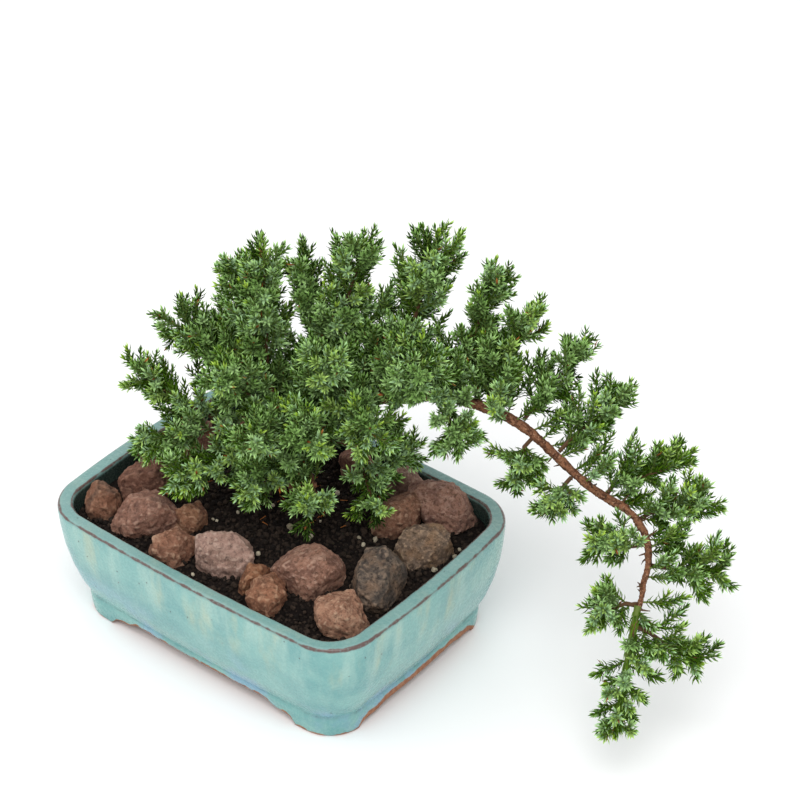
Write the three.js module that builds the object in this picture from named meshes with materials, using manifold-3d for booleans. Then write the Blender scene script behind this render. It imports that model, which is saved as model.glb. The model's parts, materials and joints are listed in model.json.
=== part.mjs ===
// A semi-cascade juniper bonsai in a glazed rectangular pot, with soil and a ring of rocks.
// Millimetres, +Z up. The pot's long side runs along X and its feet stand on z = 0.
import * as THREE from "three";
import { mergeVertices } from "three/addons/utils/BufferGeometryUtils.js";
import { ConvexGeometry } from "three/addons/geometries/ConvexGeometry.js";
import Module from "manifold-3d";

const wasm = await Module();
wasm.setup();

// ---- driving dimensions -------------------------------------------------------------------
const GAP = 0.3; // clearance between pieces that touch

// Pot: half sizes of the rim, how far it stands, and the ring of its feet.
const RIM_HALF_LENGTH = 100;
const RIM_HALF_WIDTH = 74;
const RIM_CORNER = 26;
const RIM_LAND = 8.5; // flat width of the rim, and the wall's thickness
const POT_HEIGHT = 66.7;
const SIDE_BOW = 1.9; // how far the middle of each side bulges
const FOOT_INSET = 12; // foot ring inside the rim
const FOOT_WIDTH = 9;
const UNDERSIDE = 9; // height of the recessed underside
const POT_FLOOR = 14; // height of the inside floor
const CORNER_NARROWING = 0.475; // corner radius lost for each mm of inset
const RING_SEGMENTS = 40;
const LONG_ARCH = { half: 62, height: 8.8 };
const SHORT_ARCH = { half: 46, height: 5.4 };
const DRAIN_RADIUS = 7;
const DRAIN_X = 45;

const SCREEN = { side: 26, thickness: 1, cells: 3, bar: 1.4 };

const SOIL_EDGE = 56.5; // soil height at the wall
const SOIL_MIDDLE = 61; // soil height round the trunk

// The tree stands here, and its own frame is turned about Z: x along the cascade's sweep.
const TREE = { x: 0, y: 20, turn: THREE.MathUtils.degToRad(38) };

const SHOOT_RADIUS = 4.2;
const SHOOT_SIDES = 4;
const SHOOT_BULGE = 0.42; // where along a shoot it is widest
const TWIG_RADIUS = 0.9;
const LOWEST_LEAF = 10; // the cascade's end hangs at least this far above the table

// ---- colours ------------------------------------------------------------------------------
const look = (color, roughness) => new THREE.MeshStandardMaterial({ color, roughness, metalness: 0 });
const glazeLook = () => look(0x84bdb8, 0.3);
const soilLook = () => look(0x241c18, 1);
const screenLook = () => look(0x1b1b1b, 0.6);
const barkLook = () => look(0x6a4431, 0.9);
const leafLook = () => look(0x5b8461, 0.7);
const ROCK_COLOURS = [0x6d5346, 0x604333, 0x9f847b, 0x534c46, 0x5f4b40, 0x997660];

// ---- helpers ------------------------------------------------------------------------------
// A repeatable stream of numbers between 0 and 1.
function randomFrom(seed) {
  let state = seed >>> 0;
  return () => {
    state = (Math.imul(state, 1664525) + 1013904223) >>> 0;
    return state / 4294967296;
  };
}

function solidOf(geometry) {
  const bare = geometry.index ? geometry.toNonIndexed() : geometry.clone();
  bare.deleteAttribute("normal");
  bare.deleteAttribute("uv");
  const merged = mergeVertices(bare, 1e-4);
  const corners = merged.index.array;
  const triVerts = [];
  for (let i = 0; i < corners.length; i += 3) {
    const [a, b, c] = [corners[i], corners[i + 1], corners[i + 2]];
    if (a !== b && b !== c && c !== a) triVerts.push(a, b, c);
  }
  return new wasm.Manifold(
    new wasm.Mesh({
      numProp: 3,
      vertProperties: merged.attributes.position.array,
      triVerts: new Uint32Array(triVerts),
    }),
  );
}

function geometryOf(solid) {
  const mesh = solid.getMesh();
  const geometry = new THREE.BufferGeometry();
  geometry.setAttribute("position", new THREE.BufferAttribute(mesh.vertProperties, 3));
  geometry.setIndex(new THREE.BufferAttribute(mesh.triVerts, 1));
  const flat = geometry.toNonIndexed();
  flat.computeVertexNormals();
  return flat;
}

const joined = (solids) => solids.reduce((whole, next) => whole.add(next));

// The outer skin of a joined body, with any pocket closed inside it filled.
function filled(solid) {
  const skins = solid.decompose();
  return skins.reduce((most, skin) => (skin.volume() > most.volume() ? skin : most));
}

function named(name, solid, material) {
  const mesh = new THREE.Mesh(geometryOf(solid), material);
  mesh.name = name;
  return mesh;
}

// ---- pot ----------------------------------------------------------------------------------
// One point of a rounded rectangle with bowed sides; turn runs 0 to 1 anticlockwise from +X.
function ringPoint(turn, half, corner) {
  const quarter = Math.floor(turn * 4) % 4;
  const across = quarter % 2 === 0 ? turn * 4 - quarter : 1 - (turn * 4 - quarter);
  const CORNER_START = 0.2;
  const CORNER_END = 0.7;
  let x = half.x;
  let y = half.y;
  if (across < CORNER_START) {
    const along = across / CORNER_START;
    x += half.bow * (1 - along * along);
    y = (half.y - corner) * along;
  } else if (across < CORNER_END) {
    const angle = ((across - CORNER_START) / (CORNER_END - CORNER_START)) * (Math.PI / 2);
    x = half.x - corner + corner * Math.cos(angle);
    y = half.y - corner + corner * Math.sin(angle);
  } else {
    const along = (1 - across) / (1 - CORNER_END);
    x = (half.x - corner) * along;
    y += half.bow * (1 - along * along);
  }
  const signX = quarter === 1 || quarter === 2 ? -1 : 1;
  const signY = quarter >= 2 ? -1 : 1;
  return [signX * x, signY * y];
}

// Half sizes and corner radius of the ring that lies `reach` from the pot's middle along X.
function ringAt(reach, inner) {
  const inset = RIM_HALF_LENGTH - reach;
  const slimmer = RIM_HALF_LENGTH - RIM_HALF_WIDTH - 0.14 * inset;
  const shrink = Math.min(1, reach / 60);
  const wall = inner ? RIM_LAND : 0;
  const corner = (RIM_CORNER - wall - CORNER_NARROWING * (inset - wall)) * shrink;
  const half = { x: reach, y: reach - slimmer * shrink, bow: SIDE_BOW * shrink };
  return { half, corner: Math.max(corner, 0.2 * reach) };
}

// A lathe whose turns are rounded rectangles. A profile point is [reach, height, inner?].
function squaredLathe(profile) {
  const outline = profile.map(([reach, z]) => new THREE.Vector2(reach, z));
  const lathe = new THREE.LatheGeometry(outline, RING_SEGMENTS);
  const places = lathe.attributes.position;
  for (let i = 0; i <= RING_SEGMENTS; i++) {
    profile.forEach(([reach, z, inner], j) => {
      const { half, corner } = ringAt(reach, inner);
      const turn = (i % RING_SEGMENTS) / RING_SEGMENTS;
      const [x, y] = reach > 0 ? ringPoint(turn, half, corner) : [0, 0];
      places.setXYZ(i * profile.length + j, x, y, z);
    });
  }
  return lathe;
}

// Inside wall, from the floor up: how far in from the rim's outer edge at each height.
const INNER_WALL = [
  [24, POT_FLOOR],
  [18.5, 19],
  [13.5, 32],
  [10.5, 46],
  [9.2, 58],
  [8.7, POT_HEIGHT - 1.2],
];

function archShape({ half, height }) {
  const shape = new THREE.Shape();
  const shoulder = 0.62 * height;
  shape.moveTo(-half, -1);
  shape.lineTo(-half, 0);
  shape.quadraticCurveTo(-half + 4, shoulder, -half + 11, shoulder);
  shape.quadraticCurveTo(-half + 13, height, -half + 21, height);
  shape.lineTo(half - 21, height);
  shape.quadraticCurveTo(half - 13, height, half - 11, shoulder);
  shape.quadraticCurveTo(half - 4, shoulder, half, 0);
  shape.lineTo(half, -1);
  return shape;
}

function archCutter(arch, aboutZ) {
  const length = 2 * RIM_HALF_LENGTH + 20;
  const cutter = new THREE.ExtrudeGeometry(archShape(arch), {
    depth: length,
    bevelEnabled: false,
    curveSegments: 3,
  });
  cutter.translate(0, 0, -length / 2);
  cutter.rotateX(Math.PI / 2);
  cutter.rotateZ(aboutZ);
  return solidOf(cutter);
}

function makePot() {
  const rim = RIM_HALF_LENGTH;
  const foot = rim - FOOT_INSET;
  const outside = [
    [0, UNDERSIDE],
    [foot - FOOT_WIDTH, UNDERSIDE],
    [foot - FOOT_WIDTH, 0],
    [foot, 0],
    [foot + 0.6, 5],
    [foot + 0.9, 10],
    [foot - 0.1, 12.2],
    [foot + 1.1, 14.2],
    [rim - 7.2, 22],
    [rim - 3.9, 33],
    [rim - 1.7, 44],
    [rim - 0.5, 55],
    [rim, 63.5],
    [rim - 0.2, 65.6],
    [rim - 1.3, POT_HEIGHT],
  ];
  const lip = [[rim - RIM_LAND + 0.9, POT_HEIGHT - 0.1, true]];
  const inside = INNER_WALL.map(([inset, z]) => [rim - inset, z, true]).reverse();
  const body = solidOf(squaredLathe([...outside, ...lip, ...inside, [0, POT_FLOOR, true]]));
  const drains = [-DRAIN_X, DRAIN_X].map((x) => {
    const drain = new THREE.CylinderGeometry(DRAIN_RADIUS, DRAIN_RADIUS, 12, 16);
    drain.rotateX(Math.PI / 2);
    drain.translate(x, 0, (UNDERSIDE + POT_FLOOR) / 2);
    return solidOf(drain);
  });
  return body
    .subtract(archCutter(LONG_ARCH, 0))
    .subtract(archCutter(SHORT_ARCH, Math.PI / 2))
    .subtract(joined(drains));
}

// ---- drainage screens ---------------------------------------------------------------------
function block(size, middle) {
  const box = new THREE.BoxGeometry(...size);
  box.translate(...middle);
  return solidOf(box);
}

function makeScreen(x) {
  const { side, thickness, cells, bar } = SCREEN;
  const z = POT_FLOOR + GAP + thickness / 2;
  const pitch = (side - bar) / cells;
  const first = (pitch + bar - side) / 2;
  let screen = block([side, side, thickness], [x, 0, z]);
  for (let i = 0; i < cells; i++) {
    for (let j = 0; j < cells; j++) {
      const hole = block([pitch - bar, pitch - bar, 3], [x + first + i * pitch, first + j * pitch, z]);
      screen = screen.subtract(hole);
    }
  }
  return screen;
}

function screenRoom(x) {
  const width = SCREEN.side + 2 * GAP;
  return block([width, width, SCREEN.thickness + 2], [x, 0, POT_FLOOR + 2 * GAP + SCREEN.thickness / 2 - 1]);
}

// ---- soil ---------------------------------------------------------------------------------
function makeSoil(rocks, wood) {
  const rim = RIM_HALF_LENGTH;
  const wall = INNER_WALL.map(([inset, z]) => [rim - inset - GAP, z, true]);
  wall[0][1] = POT_FLOOR + GAP;
  const edge = [rim - 9.4 - GAP, SOIL_EDGE, true];
  const profile = [
    [0, POT_FLOOR + GAP, true],
    ...wall.slice(0, 4),
    edge,
    [70, SOIL_EDGE + 1.5, true],
    [42, SOIL_MIDDLE - 1, true],
    [0, SOIL_MIDDLE, true],
  ];
  const cutters = [...rocks, wood, screenRoom(-DRAIN_X), screenRoom(DRAIN_X)];
  return cutters.reduce((soil, cutter) => soil.subtract(cutter), solidOf(squaredLathe(profile)));
}

// ---- rocks --------------------------------------------------------------------------------
// Where each rock lies, its length, breadth and height, and its turn about Z in degrees.
const ROCKS = [
  { at: [-80, -3], size: [34, 18, 21], turn: 35, rise: 7 },
  { at: [-70, -22], size: [31, 19, 21], turn: 40, rise: 6 },
  { at: [-79, -48], size: [20, 19, 23], turn: 10, rise: 4 },
  { at: [-51, -45], size: [34, 25, 25], turn: 38, rise: 6 },
  { at: [-31, -32], size: [18, 17, 21], turn: 0, rise: 6 },
  { at: [-24, -56], size: [22, 18, 22], turn: 60, rise: 5 },
  { at: [3, -45], size: [31, 24, 27], turn: 38, rise: 7 },
  { at: [24, -47], size: [14, 20, 16], turn: 20, rise: 4 },
  { at: [36, -51], size: [19, 29, 20], turn: 30, rise: 5 },
  { at: [43, -29], size: [36, 28, 28], turn: 38, rise: 8 },
  { at: [74, -42], size: [27, 23, 20], turn: 38, rise: 6 },
  { at: [73, -13], size: [25, 34, 30], turn: 20, rise: 8 },
  { at: [75, 24], size: [34, 23, 21], turn: 60, rise: 6 },
  { at: [51, 32], size: [27, 22, 26], turn: 45, rise: 7 },
  { at: [63, 52], size: [33, 24, 26], turn: 20, rise: 9 },
  { at: [35, 57], size: [21, 17, 22], turn: 10, rise: 9 },
  { at: [6, 55], size: [27, 19, 20], turn: -10, rise: 6 },
  { at: [-26, 56], size: [26, 18, 21], turn: 15, rise: 6 },
  { at: [-58, 51], size: [28, 22, 21], turn: -15, rise: 6 },
  { at: [-80, 22], size: [20, 23, 20], turn: 0, rise: 6 },
];
const ROCK_POINTS = 18;
const ROCK_ROOM = 1.07; // the soil's socket round a rock, as a multiple of its size

const rockSpot = (rock) => new THREE.Vector3(rock.at[0], rock.at[1], SOIL_EDGE + rock.rise);
const rockReach = (rock) => (rock.size[0] + rock.size[1]) / 4;

// A broken stone: the convex hull of points thrown round a block.
function rockGeometry(rock, index, scale) {
  const random = randomFrom(977 + 31 * index);
  const corners = [];
  for (let i = 0; i < ROCK_POINTS; i++) {
    const height = 1 - (2 * (i + 0.5)) / ROCK_POINTS;
    const around = i * Math.PI * (3 - Math.sqrt(5)) + 0.9 * random();
    const ring = Math.sqrt(1 - height * height);
    const corner = new THREE.Vector3(ring * Math.cos(around), ring * Math.sin(around), height);
    const squareness = Math.max(Math.abs(corner.x), Math.abs(corner.y), Math.abs(corner.z));
    corner.multiplyScalar((0.5 / Math.pow(squareness, 0.45)) * (0.82 + 0.3 * random()));
    corners.push(corner.multiply(new THREE.Vector3(...rock.size)).multiplyScalar(scale));
  }
  const stone = new ConvexGeometry(corners);
  stone.rotateX(0.5 * (random() - 0.5));
  stone.rotateZ(THREE.MathUtils.degToRad(rock.turn));
  stone.translate(...rockSpot(rock));
  return stone;
}

// Neighbours that would run into each other both end at the plane between them.
function trimmed(solid, rock, clearance) {
  let stone = solid;
  for (const other of ROCKS) {
    const apart = rockSpot(other).sub(rockSpot(rock));
    const distance = apart.length();
    if (other === rock || distance > 1.6 * (rockReach(rock) + rockReach(other))) continue;
    const share = rockReach(rock) / (rockReach(rock) + rockReach(other));
    const normal = apart.divideScalar(-distance);
    const plane = normal.dot(rockSpot(rock)) - share * distance + clearance;
    stone = stone.trimByPlane([normal.x, normal.y, normal.z], plane);
  }
  return stone;
}

// The room inside the rim, clear of the wall.
function mouth() {
  const rim = RIM_HALF_LENGTH;
  const wall = INNER_WALL.slice(1).map(([inset, z]) => [rim - inset - 0.7, z, true]);
  const top = [rim - RIM_LAND - 0.9, 110, true];
  return solidOf(squaredLathe([[0, 19, true], ...wall, top, [0, 110, true]]));
}

function makeRocks(room) {
  return ROCKS.map((rock, index) => {
    const stone = trimmed(solidOf(rockGeometry(rock, index, 1)), rock, 0.45);
    const socket = trimmed(solidOf(rockGeometry(rock, index, ROCK_ROOM)), rock, 0.1);
    return { stone: stone.intersect(room), socket };
  });
}

// ---- trunk and limbs ----------------------------------------------------------------------
// Each limb is a list of [x, y, z, radius] in the tree's own frame, from its foot to its end.
const LIMBS = [
  [
    [0, 0, 44, 10],
    [0, 0, 56, 8.5],
    [-2, 0, 66, 6.6],
    [-5, 1, 78, 6],
    [-2, 3, 94, 5.6],
    [9, 1, 109, 5.2],
    [25, -3, 122, 4.6],
    [45, -9, 131, 4],
    [67, -16, 136, 3.4],
    [87, -23, 135, 2.9],
    [106, -30, 129, 2.6],
    [123, -40, 118, 2.4],
    [138, -52, 109, 2.3],
    [150, -60, 105, 2.3],
    [159, -69, 104, 2.1],
    [165, -80, 99, 1.9],
    [166, -89, 93, 1.8],
    [163, -99, 86, 1.6],
    [160, -110, 77, 1.3],
    [157, -116, 71, 1.1],
  ],
  [[-4, 2, 84, 3.4], [-22, 6, 96, 2.6], [-40, 8, 101, 1.5]],
  [[-2, 3, 96, 3.4], [-12, 7, 114, 2.6], [-20, 11, 130, 1.5]],
  [[14, 0, 113, 3.2], [12, 5, 130, 2.4], [11, 7, 144, 1.4]],
  [[42, -8, 130, 3], [47, -4, 146, 2.2], [52, 0, 158, 1.4]],
  [[6, 2, 105, 3], [6, -12, 112, 2.2], [5, -24, 114, 1.3]],
  [[-4, 1, 80, 3], [2, -12, 85, 2.2], [6, -24, 86, 1.3]],
  [[2, 2, 101, 3], [18, -6, 102, 2.2], [30, -11, 99, 1.3]],
  [[4, 2, 104, 3], [5, 20, 116, 2.2], [8, 34, 120, 1.4]],
  [[-3, 3, 90, 3], [-12, 18, 103, 2.1], [-22, 32, 110, 1.3]],
];
const LIMB_SIDES = 7;

function treeSpot([x, y, z]) {
  const spot = new THREE.Vector3(x, y, z).applyAxisAngle(new THREE.Vector3(0, 0, 1), TREE.turn);
  return spot.add(new THREE.Vector3(TREE.x, TREE.y, 0));
}

// A round bar that follows the curve and tapers: a closed cylinder laid along it.
function taperedBar(curve, radiusAt, sides, steps) {
  const bar = new THREE.CylinderGeometry(1, 1, 1, sides, steps);
  const frames = curve.computeFrenetFrames(steps, false);
  const places = bar.attributes.position;
  for (let i = 0; i < places.count; i++) {
    const step = Math.round((places.getY(i) + 0.5) * steps);
    const radius = radiusAt(step / steps);
    const spot = curve.getPointAt(step / steps);
    spot.addScaledVector(frames.normals[step], radius * places.getX(i));
    spot.addScaledVector(frames.binormals[step], -radius * places.getZ(i));
    places.setXYZ(i, spot.x, spot.y, spot.z);
  }
  const solid = solidOf(bar);
  if (solid.volume() > 0) return solid;
  const turned = bar.toNonIndexed();
  const corners = turned.attributes.position;
  for (let i = 0; i < corners.count; i += 3) {
    const [second, third] = [i + 1, i + 2].map((k) => new THREE.Vector3().fromBufferAttribute(corners, k));
    corners.setXYZ(i + 1, ...third);
    corners.setXYZ(i + 2, ...second);
  }
  return solidOf(turned);
}

// Straight stretches of every limb and shoot laid so far, used to keep pieces apart.
const laid = [];

function layLimb(points, extra) {
  const spots = points.map(treeSpot);
  const curve = new THREE.CatmullRomCurve3(spots, false, "centripetal");
  const steps = 2 * (points.length - 1);
  const radiusAt = (share) => {
    const place = curve.getUtoTmapping(share) * (points.length - 1);
    const from = Math.min(Math.floor(place), points.length - 2);
    return THREE.MathUtils.lerp(points[from][3], points[from + 1][3], place - from) + extra;
  };
  return { curve, steps, radiusAt, solid: taperedBar(curve, radiusAt, LIMB_SIDES, steps) };
}

const limbs = LIMBS.map((points) => layLimb(points, 0));
for (const { curve, steps, radiusAt } of limbs) {
  for (let i = 0; i < steps; i++) {
    laid.push({
      from: curve.getPointAt(i / steps),
      to: curve.getPointAt((i + 1) / steps),
      radius: radiusAt(i / steps),
      owner: 0,
    });
  }
}

// ---- foliage ------------------------------------------------------------------------------
// Shortest distance between two straight stretches.
function distanceBetween(a, b) {
  const u = a.to.clone().sub(a.from);
  const v = b.to.clone().sub(b.from);
  const w = a.from.clone().sub(b.from);
  const [uu, uv, vv, uw, vw] = [u.dot(u), u.dot(v), v.dot(v), u.dot(w), v.dot(w)];
  const cross = uu * vv - uv * uv;
  const clamp = THREE.MathUtils.clamp;
  let s = cross > 1e-9 ? clamp((uv * vw - vv * uw) / cross, 0, 1) : 0;
  const t = clamp((uv * s + vw) / vv, 0, 1);
  s = clamp((uv * t - uw) / uu, 0, 1);
  return w.addScaledVector(u, s).addScaledVector(v, -t).length();
}

const isClear = (stretch) =>
  laid.every(
    (other) =>
      other.owner === stretch.owner ||
      distanceBetween(stretch, other) > stretch.radius + other.radius + GAP,
  );

// Height of whatever lies under a spot: a rock, the soil, the rim or the table.
function groundUnder({ x, y }) {
  const overPot = Math.abs(x) < RIM_HALF_LENGTH + 4 && Math.abs(y) < RIM_HALF_WIDTH + 4;
  if (!overPot) return LOWEST_LEAF;
  const overRim = Math.abs(x) > RIM_HALF_LENGTH - 12 || Math.abs(y) > RIM_HALF_WIDTH - 12;
  const under = ROCKS.filter(
    (rock) => Math.hypot(x - rock.at[0], y - rock.at[1]) < 0.6 * Math.max(rock.size[0], rock.size[1]),
  );
  const tops = under.map((rock) => SOIL_EDGE + rock.rise + 0.62 * rock.size[2]);
  return Math.max(SOIL_MIDDLE, overRim ? POT_HEIGHT : 0, ...tops);
}

function isOffGround({ from, to, radius }) {
  const shares = [0, 0.25, 0.5, 0.75, 1];
  return shares.every((share) => {
    const spot = from.clone().lerp(to, share);
    return spot.z - (share < 1 ? radius : 0) > groundUnder(spot) + GAP;
  });
}

// A shoot is a spindle: it swells from its foot and comes to a point.
function shootSolid({ from, to, radius }) {
  const length = from.distanceTo(to);
  const outline = [
    new THREE.Vector2(0, 0),
    new THREE.Vector2(radius, SHOOT_BULGE * length),
    new THREE.Vector2(0, length),
  ];
  const spindle = new THREE.LatheGeometry(outline, SHOOT_SIDES);
  const along = to.clone().sub(from).normalize();
  spindle.applyQuaternion(new THREE.Quaternion().setFromUnitVectors(new THREE.Vector3(0, 1, 0), along));
  spindle.translate(from.x, from.y, from.z);
  return solidOf(spindle);
}

// Sprays in the tree's frame: the limb point each leaves, its end, how wide it spreads, and
// the number of side shoots that are tried on it.
const SPRAYS = {
  crown_right: { from: [51, -1, 155], to: [67, 5, 212], spread: 26, shoots: 19 },
  crown_far_right: { from: [73, -18, 136], to: [95, 5, 196], spread: 25, shoots: 18 },
  crown_middle: { from: [11, 7, 142], to: [32, 10, 208], spread: 28, shoots: 20 },
  crown_back: { from: [11, 6, 136], to: [-1, 18, 193], spread: 26, shoots: 20 },
  crown_left: { from: [-18, 10, 126], to: [-17, 5, 207], spread: 26, shoots: 20 },
  left_high: { from: [-20, 11, 130], to: [-32, 25, 187], spread: 24, shoots: 19 },
  left_shoulder: { from: [-17, 10, 124], to: [-67, 25, 155], spread: 26, shoots: 19 },
  left_reach: { from: [-39, 8, 101], to: [-86, 10, 134], spread: 24, shoots: 18 },
  left_low: { from: [-34, 7, 100], to: [-84, -5, 103], spread: 22, shoots: 14 },
  left_lowest: { from: [-14, 4, 91], to: [-70, -25, 91], spread: 20, shoots: 12 },
  left_front: { from: [-10, 6, 110], to: [-42, -14, 148], spread: 27, shoots: 16 },
  middle_left: { from: [-5, 2, 88], to: [-24, -42, 130], spread: 28, shoots: 17 },
  middle_front: { from: [5, -22, 114], to: [8, -48, 136], spread: 27, shoots: 12 },
  middle_high: { from: [13, 2, 116], to: [14, -30, 168], spread: 29, shoots: 19 },
  front_low: { from: [6, -23, 86], to: [2, -58, 84], spread: 21, shoots: 10 },
  front_left_low: { from: [-4, 1, 81], to: [-28, -36, 94], spread: 23, shoots: 12 },
  front_right_low: { from: [26, -10, 100], to: [38, -38, 76], spread: 20, shoots: 9 },
  right_low: { from: [29, -11, 99], to: [54, -3, 90], spread: 20, shoots: 9 },
  right_front: { from: [24, -3, 121], to: [36, -44, 132], spread: 27, shoots: 16 },
  right_high: { from: [44, -9, 131], to: [60, -36, 165], spread: 29, shoots: 19 },
  under_arch: { from: [68, -17, 136], to: [78, -43, 121], spread: 22, shoots: 11 },
  arch_top: { from: [88, -24, 134], to: [112, -10, 182], spread: 23, shoots: 17 },
  arch_end: { from: [106, -30, 129], to: [137, -15, 164], spread: 22, shoots: 16 },
  fall_top: { from: [122, -40, 118], to: [157, -30, 148], spread: 22, shoots: 16 },
  fall_under: { from: [110, -32, 127], to: [105, -47, 103], spread: 18, shoots: 8 },
  fall_inner: { from: [131, -46, 113], to: [120, -62, 96], spread: 17, shoots: 7 },
  fall_right: { from: [142, -54, 108], to: [187, -50, 122], spread: 22, shoots: 15 },
  fall_outer: { from: [160, -70, 103], to: [195, -66, 112], spread: 20, shoots: 13 },
  fall_left: { from: [166, -84, 96], to: [138, -86, 100], spread: 18, shoots: 10 },
  tail_right: { from: [165, -92, 91], to: [205, -86, 83], spread: 20, shoots: 13 },
  tail_left: { from: [161, -104, 82], to: [139, -112, 78], spread: 18, shoots: 11 },
  tail_low: { from: [158, -113, 74], to: [192, -115, 49], spread: 18, shoots: 11 },
  tail_tip: { from: [157, -116, 71], to: [149, -144, 27], spread: 19, shoots: 15 },
  back_right: { from: [8, 33, 119], to: [44, 62, 142], spread: 27, shoots: 13 },
  back_left: { from: [-20, 30, 109], to: [-50, 60, 132], spread: 27, shoots: 13 },
};

// Where a spray's twig leaves the bark, and the direction in which it starts.
function barkPoint(towards, from) {
  const near = treeSpot(from);
  let best = null;
  for (const stretch of laid.filter((piece) => piece.owner === 0)) {
    const line = new THREE.Line3(stretch.from, stretch.to);
    const spot = line.closestPointToPoint(near, true, new THREE.Vector3());
    const distance = spot.distanceTo(near);
    if (!best || distance < best.distance) best = { spot, distance, stretch };
  }
  const outwards = towards.clone().sub(best.spot).normalize();
  return best.spot.addScaledVector(outwards, best.stretch.radius + TWIG_RADIUS + 2 * GAP);
}

// A direction that leaves `along` by `spreadAngle`, at `around` radians about it.
function awayFrom(along, spreadAngle, around) {
  const side = new THREE.Vector3(0, 0, 1).cross(along).normalize();
  side.applyAxisAngle(along, around);
  return along.clone().multiplyScalar(Math.cos(spreadAngle)).addScaledVector(side, Math.sin(spreadAngle));
}

// The twig of a spray, from the bark nearly to the spray's end. Every twig is laid before any
// shoot grows, so that shoots keep clear of all of them.
const TWIG_REACH = 0.86;
const TWIG_STEPS = 3;

function layTwig(spray, index) {
  const end = treeSpot(spray.to);
  const start = barkPoint(end, spray.from);
  const sag = new THREE.Vector3(0, 0, -0.06 * start.distanceTo(end));
  const middle = start.clone().lerp(end, 0.5).add(sag);
  const curve = new THREE.QuadraticBezierCurve3(start, middle, end);
  for (let i = 0; i < TWIG_STEPS; i++) {
    const [from, to] = [i, i + 1].map((step) => curve.getPoint((TWIG_REACH * step) / TWIG_STEPS));
    laid.push({ from, to, radius: TWIG_RADIUS, owner: index + 1 });
  }
  const random = randomFrom(4001 + 97 * index);
  return { ...spray, owner: index + 1, curve, random, pieces: [twigSolid(curve)] };
}

function twigSolid(curve) {
  const bend = curve.v0.clone().lerp(curve.v1, TWIG_REACH);
  const inner = new THREE.QuadraticBezierCurve3(curve.v0, bend, curve.getPoint(TWIG_REACH));
  return taperedBar(inner, (share) => TWIG_RADIUS * (1 - 0.3 * share), 4, TWIG_STEPS);
}

function tryShoot(twig, from, to) {
  const shoot = { from, to, radius: SHOOT_RADIUS, owner: twig.owner };
  if (!isOffGround(shoot) || !isClear(shoot)) return false;
  laid.push(shoot);
  twig.pieces.push(shootSolid(shoot));
  return true;
}

function growSideShoot(twig, order) {
  const { curve, random, spread, shoots } = twig;
  const share = 0.12 + (0.76 * (order + 0.5)) / shoots;
  const foot = curve.getPoint(share);
  const along = curve.getTangent(share);
  const length = spread * (1.08 - 0.5 * share) * (0.8 + 0.4 * random());
  for (let attempt = 0; attempt < 10; attempt++) {
    const around = order * 2.4 + 1.3 * attempt + random();
    const heading = awayFrom(along, 0.75 + 0.35 * random(), around);
    heading.z += 0.22;
    heading.normalize();
    const tip = foot.clone().addScaledVector(heading, length * (1 - 0.05 * attempt));
    if (tryShoot(twig, foot, tip)) return;
  }
}

// The sprays take turns, one shoot at a time, so that none crowds out its neighbours.
function growSprays() {
  const twigs = Object.values(SPRAYS).map(layTwig);
  twigs.forEach((twig) => tryShoot(twig, twig.curve.getPoint(0.62), twig.curve.v2));
  const mostShoots = Math.max(...twigs.map((twig) => twig.shoots));
  for (let order = 0; order < mostShoots; order++) {
    twigs.filter((twig) => order < twig.shoots).forEach((twig) => growSideShoot(twig, order));
  }
  const barkRoom = joined(LIMBS.map((points) => layLimb(points, GAP).solid));
  return twigs.map((twig) => filled(joined(twig.pieces).subtract(barkRoom)));
}

// ---- assembly -----------------------------------------------------------------------------
const part = new THREE.Group();
const wood = filled(joined(limbs.map((limb) => limb.solid)));
const [rootEnd, ...trunkFoot] = LIMBS[0].slice(0, 6);
const woodRoom = layLimb([[...rootEnd.slice(0, 2), rootEnd[2] - 1, rootEnd[3]], ...trunkFoot], 3 * GAP).solid;
const rocks = makeRocks(mouth());

part.add(named("pot", makePot(), glazeLook()));
part.add(named("drain_screen_left", makeScreen(-DRAIN_X), screenLook()));
part.add(named("drain_screen_right", makeScreen(DRAIN_X), screenLook()));
part.add(named("soil", makeSoil(rocks.map((rock) => rock.socket), woodRoom), soilLook()));
rocks.forEach(({ stone }, index) => {
  const name = `rock_${String(index + 1).padStart(2, "0")}`;
  part.add(named(name, stone, look(ROCK_COLOURS[index % ROCK_COLOURS.length], 0.95)));
});
part.add(named("trunk_and_limbs", wood, barkLook()));
const sprays = growSprays();
Object.keys(SPRAYS).forEach((name, index) => {
  part.add(named(`spray_${name}`, sprays[index], leafLook()));
});

// The origin is the middle of the whole part's footprint.
const bounds = new THREE.Box3().setFromObject(part);
const footprint = bounds.getCenter(new THREE.Vector3());
part.position.set(-footprint.x, -footprint.y, -bounds.min.z);

export default part;
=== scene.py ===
"""Looks for a semi-cascade juniper bonsai in a glazed rectangular pot.

Shapes are worked out in mm, in the CAD's frame with +Z up, and stored in metres.
"""
import json
import math

import bmesh
import bpy
import numpy as np
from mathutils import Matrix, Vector, noise
from mathutils.bvhtree import BVHTree


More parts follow.
